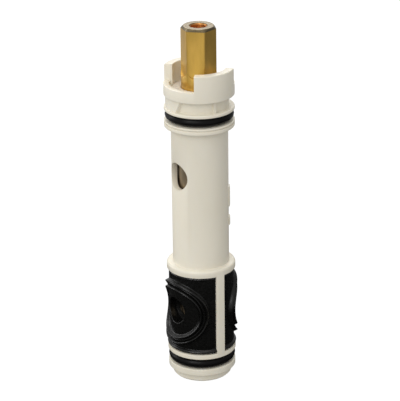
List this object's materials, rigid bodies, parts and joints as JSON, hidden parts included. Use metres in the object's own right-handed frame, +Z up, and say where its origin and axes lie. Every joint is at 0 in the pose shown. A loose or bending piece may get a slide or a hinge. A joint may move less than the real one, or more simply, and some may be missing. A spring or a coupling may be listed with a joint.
{
  "type": "diverter valve cartridge",
  "caption": "Tubular pull-and-turn diverter cartridge: pale plastic shell with rubber port pads, O-rings, notched collar ears and a sliding, turning brass hex stem.",
  "frame": {"origin": "centre of the bottom end of the shell, on the cartridge's axis", "axes": "+Z up the axis towards the stem's hexagonal end; the side inlet hole and left seal pad face -X, the right seal pad faces +X, the two pillars stand at -Y and +Y"},
  "size_m": [0.0232, 0.0222, 0.1173],
  "materials": {
    "shell_plastic": "moulded off-white acetal",
    "bush_plastic": "turned off-white acetal",
    "white_plastic": "slippery bearing plastic",
    "seal_rubber": "smooth greased rubber",
    "pad_rubber": "moulded satin rubber",
    "stem_brass": "milled and turned brass",
    "spool_brass": "drawn brass tube",
    "spring_steel": "bright wire"
  },
  "bodies": {
    "shell": {"shell": "shell_plastic", "gland_bush": "bush_plastic", "bush_o_ring": "seal_rubber", "bush_lock_ring": "spring_steel", "thrust_washer": "white_plastic", "head_o_ring": "seal_rubber", "foot_o_ring": "seal_rubber", "seal_pad_left": "pad_rubber", "seal_pad_right": "pad_rubber", "foot_bearing_ring": "white_plastic"},
    "guide": {"guide_half_front": "white_plastic", "guide_half_rear": "white_plastic"},
    "stem": {"stem": "stem_brass", "stem_o_ring_upper": "seal_rubber", "stem_o_ring_lower": "seal_rubber", "spool": "spool_brass", "spool_pin": "spring_steel", "spool_plug": "spool_brass", "spool_plug_o_ring": "seal_rubber", "spool_bearing_ring": "white_plastic"}
  },
  "joints": [
    {"name": "stem_pull", "type": "slide", "parent": "shell", "child": "guide", "axis": [0, 0, 1], "range_m": [-0.008, 0]},
    {"name": "stem_turn", "type": "hinge", "parent": "guide", "child": "stem", "pos_m": [0, 0, 0.0805], "axis": [0, 0, 1], "range_deg": [-90, 90]}
  ]
}
